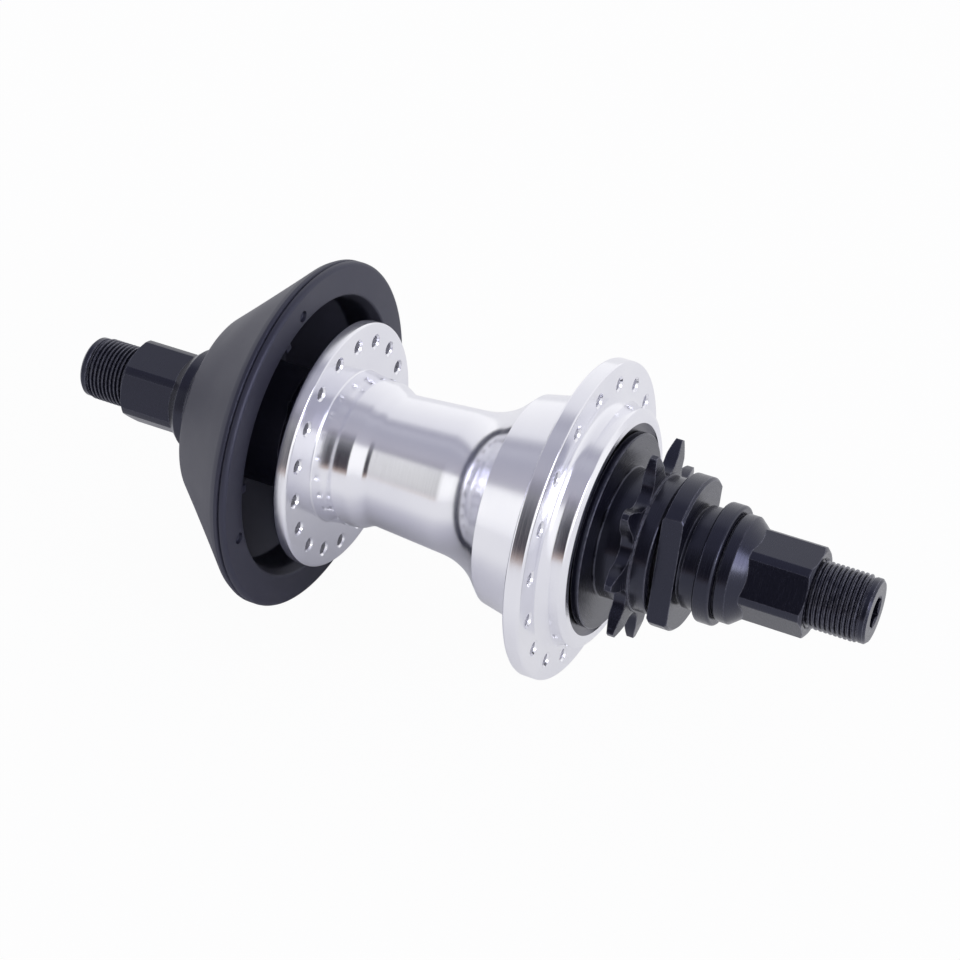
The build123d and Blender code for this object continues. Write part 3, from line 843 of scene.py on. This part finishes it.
def make_axle():
    """Axle with a shank, a thread and a plain chamfered tip at both ends, and key sockets."""
    shank_low = nondrive_disc_start
    shank_high = drive_nose - shank_gap
    shank_edge = shank_radius - shank_chamfer
    thread_end = axle_end - tip_length
    root = thread_radius - thread_depth
    end_radius = tip_radius - tip_chamfer
    step_radius = tip_radius - tip_step
    work = bmesh.new()

    def rings(*corners):
        return [ring(work, station, radius, thread_steps) for station, radius in corners]

    rows = [
        *rings((-axle_end, 0), (-axle_end, end_radius), (tip_chamfer - axle_end, tip_radius)),
        *rings((-thread_end - tip_step, tip_radius), (-thread_end, step_radius)),
        *rings((-thread_end, root)),
        *thread_rows(work, -thread_end, shank_low),
        *rings((shank_low, root), (shank_low, shank_edge)),
        *rings((shank_low + shank_chamfer, shank_radius)),
        *rings((shank_high - shank_chamfer, shank_radius)),
        *rings((shank_high, shank_edge), (shank_high, root)),
        *thread_rows(work, shank_high, thread_end),
        *rings((thread_end, root), (thread_end, step_radius)),
        *rings((thread_end + tip_step, tip_radius)),
        *rings((axle_end - tip_chamfer, tip_radius), (axle_end, end_radius), (axle_end, 0)),
    ]
    for near, far in zip(rows, rows[1:]):
        stitched(work, near, far)
    axle = from_bmesh("axle_piece", work)
    outline = polygon(6, socket_flats / math.sqrt(3), socket_angle)
    for side in (1, -1):
        floor, mouth = sorted((side * (axle_end - socket_depth), side * (axle_end + cut_past)))
        axle = combine(axle, prism("socket", outline, floor, mouth), "DIFFERENCE")
        inner = side * (axle_end - countersink_reach)
        outer = side * (axle_end + countersink_reach)
        walls = [
            (inner, 0),
            (outer, 0),
            (outer, countersink_top_radius),
            (inner, countersink_floor_radius),
        ]
        countersink = lathe("countersink", walls, countersink_steps)
        axle = combine(axle, countersink, "DIFFERENCE")
    dress(axle, "axle_group", "axle", "black_steel")


# Cone nuts
undercut_length = 0.8
undercut_radius = 9.9
cone_nut_edge = 0.14
slab_margin = 4
slab_half_height = 30
slab_clearance = 0.3
slab_overlap = 0.01


def with_flats(item, start, end):
    """Cut two wrench flats between two stations."""
    slabs = []
    outline = rectangle(wrench_flats / 2, wrench_disc_radius + slab_margin, slab_half_height)
    for turn in (0, 180):
        slab = prism("slab", outline, start, end)
        slabs.append(turned_by(slab, wrench_flat_angle + turn))
    return combine(item, joined("slabs", slabs), "DIFFERENCE")


def make_drive_cone_nut():
    """Cone nut with a wrench disc, an undercut and a spacer against the dropout."""
    undercut_end = drive_disc_end + undercut_length
    disc_land = wrench_disc_radius - wrench_disc_edge
    nut = lathe(
        "drive_cone_nut_piece",
        [
            (drive_nose, thread_bore),
            (dropout_face, thread_bore, 0.2),
            (dropout_face, spacer_radius, 0.3),
            (undercut_end, spacer_radius, 0.2),
            (undercut_end, undercut_radius),
            (drive_disc_end, undercut_radius),
            (drive_disc_end, disc_land, 0.1),
            (drive_disc_end - wrench_disc_edge, wrench_disc_radius, 0.1),
            (drive_disc_start + wrench_disc_edge, wrench_disc_radius, 0.1),
            (drive_disc_start, disc_land, 0.1),
            (drive_disc_start, nose_radius),
            (drive_nose, nose_radius, 0.1),
        ],
    )
    nut = with_flats(nut, drive_disc_start - slab_clearance, drive_disc_end + slab_overlap)
    dress(bevelled(nut, cone_nut_edge), "axle_group", "drive_cone_nut", "black_steel")


def make_nondrive_cone_nut():
    """Cone nut that carries the hub guard."""
    disc_land = wrench_disc_radius - wrench_disc_edge
    nut = lathe(
        "nondrive_cone_nut_piece",
        [
            (nondrive_nose, axle_bore),
            (nondrive_disc_start, axle_bore),
            (nondrive_disc_start, thread_bore),
            (-dropout_face, thread_bore, 0.2),
            (-dropout_face, spacer_radius, 0.3),
            (nondrive_disc_start, spacer_radius),
            (nondrive_disc_start, disc_land, 0.1),
            (nondrive_disc_start + wrench_disc_edge, wrench_disc_radius, 0.1),
            (nondrive_disc_end - wrench_disc_edge, wrench_disc_radius, 0.1),
            (nondrive_disc_end, disc_land, 0.1),
            (nondrive_disc_end, nose_radius),
            (nondrive_nose, nose_radius, 0.1),
        ],
    )
    nut = with_flats(nut, nondrive_disc_start - slab_overlap, nondrive_disc_end + slab_clearance)
    dress(bevelled(nut, cone_nut_edge), "axle_group", "nondrive_cone_nut", "black_steel")


# Axle nuts and washers, built on the drive side and turned over for the other side
washer_thickness = 3.6
washer_radius = 12.45
washer_bore = 9.3
washer_pocket_radius = 10.4
washer_pocket_depth = 1.4
nut_gap = 0.1
nut_flange_step = 0.3
nut_flange_width = 2.4
nut_flange_radius = 11.15
nut_land_radius = 10.6
nut_cone_length = 2.2
nut_overlap_radius = 8.0
nut_flats = 17.0
nut_corner_radius = 9.35
nut_turned_radius = nut_corner_radius - 0.02
nut_end_land = nut_corner_radius - 0.8
nut_end_chamfer = 0.5
nut_waist_radius = 9.22
nut_foot_inset = 0.3
nut_foot_length = 0.7
nut_foot_radius = 10.0
nut_edge = 0.16


def turned_over(item):
    """Mirror a piece onto the non-drive side."""
    item.data.transform(Matrix.Scale(-1, 4, (0, 1, 0)))
    item.data.flip_normals()
    return item


def washer_piece(name):
    """Captive washer with rounded edges."""
    face = dropout_face
    outer = face + washer_thickness
    return lathe(
        name,
        [
            (face, washer_pocket_radius),
            (face, washer_radius, 0.6),
            (outer, washer_radius, 0.6),
            (outer, washer_bore, 0.1),
            (face + washer_pocket_depth, washer_bore),
            (face + washer_pocket_depth, washer_pocket_radius),
        ],
    )


def nut_piece(name, corner_angle):
    """Flanged hexagon nut with a chamfered end, swaged into its washer."""
    land = dropout_face + washer_thickness + nut_gap
    flange = land + nut_flange_step
    inner = dropout_face + nut_foot_inset
    cone = flange + nut_flange_width
    hexagon = cone + nut_cone_length
    end = high_station("drive_nut")
    base = lathe(
        name,
        [
            (inner, thread_bore),
            (hexagon + cut_past, thread_bore),
            (hexagon + cut_past, nut_overlap_radius),
            (hexagon, nut_corner_radius),
            (cone, nut_flange_radius, 0.25),
            (flange, nut_flange_radius, 0.3),
            (flange, nut_land_radius),
            (land, nut_land_radius),
            (land, nut_waist_radius),
            (inner + nut_foot_length, nut_waist_radius),
            (inner + nut_foot_length, nut_foot_radius),
            (inner, nut_foot_radius, 0.1),
        ],
    )
    turning = lathe(
        "turning",
        [
            (flange + 0.5, nut_turned_radius),
            (flange + 0.5, thread_bore),
            (end - nut_end_chamfer, thread_bore),
            (end, thread_bore + nut_end_chamfer),
            (end, nut_end_land, 0.1),
            (end - nut_end_chamfer, nut_turned_radius, 0.2),
        ],
    )
    outline = polygon(6, nut_flats / math.sqrt(3), corner_angle)
    barrel = combine(prism("barrel", outline, flange + 0.6, end + 0.2), turning, "INTERSECT")
    return bevelled(combine(base, barrel, "UNION"), nut_edge)


def make_nuts():
    """Both axle nuts and both washers."""
    for side, hex_angle in (("drive", 57.0), ("nondrive", 71.0)):
        washer = washer_piece(f"{side}_washer_piece")
        nut = nut_piece(f"{side}_nut_piece", hex_angle)
        if side == "nondrive":
            turned_over(washer)
            turned_over(nut)
        dress(washer, f"{side}_washer_group", f"{side}_washer", "black_steel")
        dress(nut, f"{side}_nut_group", f"{side}_nut", "black_steel")


# Driver
tooth_count = 9
chain_pitch = 12.7
roller_seat = 3.95
tip_circle = 21.25
tip_half_width = 0.6
flank_radius = 11.0
seat_steps = 20
flank_steps = 10
cog_width = 2.6
cog_bore = 13.0
cog_taper = 0.75
cog_taper_start = 18.0
cog_taper_radius = 22.25
cog_edge = 0.2
dust_flange_gap = 1.3
dust_flange_width = 1.7
dust_flange_radius = 20.6
neck_length = 5.0
neck_radius = 13.6
collar_step = 0.4
collar_radius = 14.2
collar_step_radius = 14.6
driver_bore = 10.4
driver_seat_radius = 12.0
shoulder_radius = 16.8
journal_radius = 15.0
journal_reach = 0.8
screw_radius = 13.2


def arc(centre, radius, start, end, steps):
    """Points of an arc, both ends included."""
    turns = [start + (end - start) * step / steps for step in range(steps + 1)]
    x, y = centre
    return [(x + radius * math.cos(turn), y + radius * math.sin(turn)) for turn in turns]


def cog_outline():
    """Outline of the cog, tooth gap by tooth gap, with convex flanks."""
    half = math.pi / tooth_count
    seat_centre = Vector((0, chain_pitch / 2 / math.sin(half)))
    tip_x = tip_circle * math.sin(half) - tip_half_width * math.cos(half)
    tip_y = tip_circle * math.cos(half) + tip_half_width * math.sin(half)
    tip = Vector((tip_x, tip_y))
    toward_tip = tip - seat_centre
    reach = roller_seat + flank_radius
    along = (reach**2 - flank_radius**2 + toward_tip.length_squared) / (2 * toward_tip.length)
    aside = math.sqrt(reach**2 - along**2)
    onward = toward_tip.normalized()
    flank_centre = seat_centre + onward * along + Vector((onward.y, -onward.x)) * aside
    outward = flank_centre - seat_centre
    tangent = math.atan2(outward.y, outward.x)
    seat = arc(seat_centre, roller_seat, math.pi - tangent, 2 * math.pi + tangent, seat_steps)
    up = tip - flank_centre
    last = math.atan2(up.y, up.x)
    flank = arc(flank_centre, flank_radius, math.pi + tangent, last, flank_steps)[1:]
    gap = [(-x, y) for x, y in reversed(flank)] + seat + flank
    points = []
    for tooth in range(tooth_count):
        turn = math.pi * 2 / tooth_count * (tooth + 0.5)
        cos, sin = math.cos(turn), math.sin(turn)
        points.extend((x * cos + y * sin, y * cos - x * sin) for x, y in gap)
    return points


def make_driver():
    """Driver with its dust flange, bevelled cog and collar."""
    low = low_station("driver")
    high = high_station("driver")
    flange_start = bearing_right + dust_flange_gap
    flange_end = flange_start + dust_flange_width
    cog_start = flange_end + neck_length
    cog_end = cog_start + cog_width
    collar_end = cog_end + collar_step
    journal_start = bearing_left - journal_reach
    inboard_seat_end = high_station("driver_inboard_outer_race")
    outboard_seat = low_station("driver_outboard_outer_race")
    driver = lathe(
        "driver_piece",
        [
            (low, driver_seat_radius),
            (inboard_seat_end, driver_seat_radius),
            (inboard_seat_end, driver_bore),
            (outboard_seat, driver_bore),
            (outboard_seat, driver_seat_radius),
            (high, driver_seat_radius, 0.15),
            (high, collar_radius, 0.35),
            (collar_end, collar_radius),
            (collar_end, collar_step_radius, 0.25),
            (cog_start, collar_step_radius),
            (cog_start, neck_radius),
            (flange_end, neck_radius, 0.4),
            (flange_end, dust_flange_radius, 0.3),
            (flange_start, dust_flange_radius, 0.2),
            (flange_start, shoulder_radius),
            (bearing_right, shoulder_radius),
            (bearing_right, journal_radius),
            (journal_start, journal_radius),
            (journal_start, screw_radius),
            (low, screw_radius),
        ],
    )
    blank = lathe(
        "blank",
        [
            (cog_start, cog_bore),
            (cog_end, cog_bore),
            (cog_end, cog_taper_start, 4.0),
            (cog_end - cog_taper, cog_taper_radius),
            (cog_start + cog_taper, cog_taper_radius),
            (cog_start, cog_taper_start, 4.0),
        ],
    )
    cog = combine(prism("cog", cog_outline(), cog_start - 0.5, cog_end + 0.5), blank, "INTERSECT")
    driver = combine(driver, bevelled(cog, cog_edge), "UNION")
    dress(driver, "driver_group", "driver", "black_steel")


def dress_cad_nodes():
    """Give each carried-over node the material of its slot."""
    finishes = {entry["node"]: entry["material_slot"] for entry in frame["record"]["subparts"]}
    for name, node in frame["nodes"].items():
        node.data.materials.clear()
        node.data.materials.append(slot_material[finishes[name]])


# Floor, light and camera
floor_half_size = 3.0
floor_gap = 0.0002
floor_colour = (0.76, 0.76, 0.80)
floor_roughness = 0.9
camera_white = 0.96
glossy_white = 0.64
# Painted shadow on the floor as seen in reflections: its centre and its reach, in metres
painted_shadow_centre = (0.0, 0.045, -0.038)
painted_shadow_reach = (0.025, 0.100)
camera_place = (-0.32673, -0.16881, 0.29578)
camera_forward = (0.69646, 0.34999, -0.62645)
camera_lens = 85.44
camera_sensor = 36
white = (1.0, 1.0, 1.0)


def make_floor():
    """Plain pale floor that keeps the shadow and looks white to the camera. In reflections it
    glows, less near the guard's foot, where a painted shadow stands.
    """
    height = cad_bounds[0].z - floor_gap
    mesh = bpy.data.meshes.new("floor")
    signs = ((-1, -1), (1, -1), (1, 1), (-1, 1))
    corners = [(x * floor_half_size, y * floor_half_size, height) for x, y in signs]
    mesh.from_pydata(corners, [], [(0, 1, 2, 3)])
    material, tree, shader = node_tree("floor")
    shader.inputs["Base Color"].default_value = (*floor_colour, 1)
    shader.inputs["Roughness"].default_value = floor_roughness
    rays = add(tree, "ShaderNodeLightPath")
    glow = add(tree, "ShaderNodeEmission", Color=(*white, 1.0), Strength=1.0)
    blend = add(tree, "ShaderNodeMixShader")
    seen = maths(tree, "MULTIPLY", rays.outputs["Is Camera Ray"], camera_white)
    # Painted shadow: the floor's glow in reflections fades towards the guard's foot
    distance = add(tree, "ShaderNodeVectorMath", operation="DISTANCE")
    tree.links.new(add(tree, "ShaderNodeTexCoord").outputs["Object"], distance.inputs[0])
    distance.inputs[1].default_value = painted_shadow_centre
    glow_past_painted_shadow = fitted(tree, distance.outputs["Value"], *painted_shadow_reach, 0.0, glossy_white, "SMOOTHSTEP")
    mirrored = maths(tree, "MULTIPLY", rays.outputs["Is Glossy Ray"], glow_past_painted_shadow)
    tree.links.new(maths(tree, "MAXIMUM", seen, mirrored), blend.inputs[0])
    tree.links.new(shader.outputs[0], blend.inputs[1])
    tree.links.new(glow.outputs[0], blend.inputs[2])
    tree.links.new(blend.outputs[0], tree.nodes["Material Output"].inputs["Surface"])
    mesh.materials.append(material)
    new_object("floor", mesh)


# Bands of the studio by their angle from overhead, negative towards the camera: a softbox,
# a grey gap overhead and a pale backdrop beyond
sweep_limit = 100.0
studio_bands = (
    (-100, (0.82, 0.82, 0.85)),
    (-86, (0.90, 0.90, 0.92)),
    (-76, (1.00, 1.00, 1.00)),
    (-45, (1.00, 1.00, 1.00)),
    (-39, (0.44, 0.43, 0.49)),
    (-10, (0.39, 0.39, 0.46)),
    (3, (0.46, 0.46, 0.53)),
    (13, (0.37, 0.37, 0.44)),
    (20, (0.52, 0.52, 0.58)),
    (25, (0.76, 0.76, 0.80)),
    (55, (0.86, 0.86, 0.88)),
    (80, (0.95, 0.95, 0.96)),
)
studio_level = 1.12
dark_bands = (
    (-94, (1.0, 1.0, 1.0)),
    (-89, (0.50, 0.38, 0.32)),
    (-82, (0.04, 0.03, 0.04)),
    (-60, (0.05, 0.05, 0.06)),
    (-46, (0.16, 0.16, 0.18)),
    (-36, (0.60, 0.60, 0.62)),
    (-28, (1.0, 1.0, 1.0)),
)
dark_window = (-0.06, 0.06, 0.36, 0.60)
lamp_direction = (-0.17, -0.90, 0.41)
lamp_edge = (0.955, 0.990)
lamp_level = 13.0


def bands(tree, angle, stops):
    """Colours through (degrees, colour) stops round the axle's line."""
    limit = math.radians(sweep_limit)
    node = add(tree, "ShaderNodeValToRGB")
    elements = node.color_ramp.elements
    while len(elements) < len(stops):
        elements.new(0.5)
    for element, (degrees, colour) in zip(elements, stops):
        element.position = (degrees + sweep_limit) / (2 * sweep_limit)
        element.color = (*colour, 1.0)
    tree.links.new(fitted(tree, angle, -limit, limit, 0.0, 1.0), node.inputs["Fac"])
    return node.outputs["Color"]


def make_world():
    """Soft studio: bands of light along the axle, a dark place by the camera and a lamp."""
    world = bpy.data.worlds.new("studio")
    bpy.context.scene.world = world
    world.use_nodes = True
    tree = world.node_tree
    background = tree.nodes["Background"]
    direction = add(tree, "ShaderNodeTexCoord").outputs["Generated"]
    split = add(tree, "ShaderNodeSeparateXYZ")
    tree.links.new(direction, split.inputs[0])
    angle = maths(tree, "ARCTAN2", split.outputs["X"], split.outputs["Z"])
    along = split.outputs["Y"]
    opening = fitted(tree, along, dark_window[0], dark_window[1], 0.0, 1.0, "SMOOTHSTEP")
    closing = fitted(tree, along, dark_window[2], dark_window[3], 1.0, 0.0, "SMOOTHSTEP")
    window = maths(tree, "MULTIPLY", opening, closing)
    darkened = mixed(tree, window, white, bands(tree, angle, dark_bands))
    lit = mixed(tree, 1.0, bands(tree, angle, studio_bands), darkened, "MULTIPLY")
    dot = add(tree, "ShaderNodeVectorMath", operation="DOT_PRODUCT")
    tree.links.new(direction, dot.inputs[0])
    dot.inputs[1].default_value = Vector(lamp_direction).normalized()
    lamp = fitted(tree, dot.outputs["Value"], *lamp_edge, studio_level, lamp_level, "SMOOTHSTEP")
    rays = add(tree, "ShaderNodeLightPath")
    shown = mixed(tree, rays.outputs["Is Camera Ray"], lit, white)
    tree.links.new(shown, background.inputs["Color"])
    strength = add(tree, "ShaderNodeMix", data_type="FLOAT")
    tree.links.new(rays.outputs["Is Camera Ray"], strength.inputs[0])
    tree.links.new(lamp, strength.inputs[2])
    strength.inputs[3].default_value = 1.0
    tree.links.new(strength.outputs[0], background.inputs["Strength"])


def make_camera():
    """Camera at the photograph's angle."""
    data = bpy.data.cameras.new("camera")
    data.sensor_width = camera_sensor
    data.lens = camera_lens
    camera = bpy.data.objects.new("camera", data)
    camera.location = camera_place
    camera.rotation_mode = "QUATERNION"
    camera.rotation_quaternion = Vector(camera_forward).to_track_quat("-Z", "Y")
    bpy.context.scene.collection.objects.link(camera)
    bpy.context.scene.camera = camera


make_camera()
make_shell()
make_guard()
make_axle()
make_drive_cone_nut()
make_nondrive_cone_nut()
make_nuts()
make_driver()
dress_cad_nodes()
make_floor()
make_world()
bpy.context.scene.view_settings.view_transform = "Standard"
